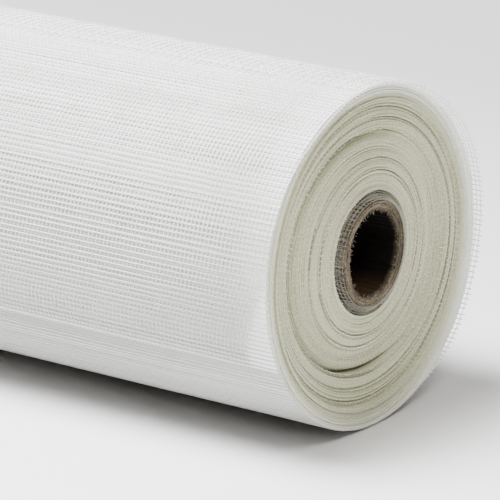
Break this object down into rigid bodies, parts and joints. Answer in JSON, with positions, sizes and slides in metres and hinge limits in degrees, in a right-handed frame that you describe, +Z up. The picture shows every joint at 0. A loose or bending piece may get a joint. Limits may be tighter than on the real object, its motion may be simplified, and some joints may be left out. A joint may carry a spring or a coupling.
{
  "type": "fiberglass insect screen roll",
  "caption": "Roll of white fiberglass insect screen on a cardboard core, lying on its side, ends dished.",
  "frame": {"origin": "on the floor, under the middle of the roll's whole length", "axes": "+X along the roll towards the end that the picture shows, +Z up"},
  "size_m": [0.6156, 0.1028, 0.1029],
  "materials": {
    "cardboard": "matte, brown-grey, torn paper edge",
    "mesh": "white coated yarn, slight sheen"
  },
  "bodies": {
    "root": {"core_tube": "cardboard", "screen_roll": "mesh"}
  },
  "joints": []
}
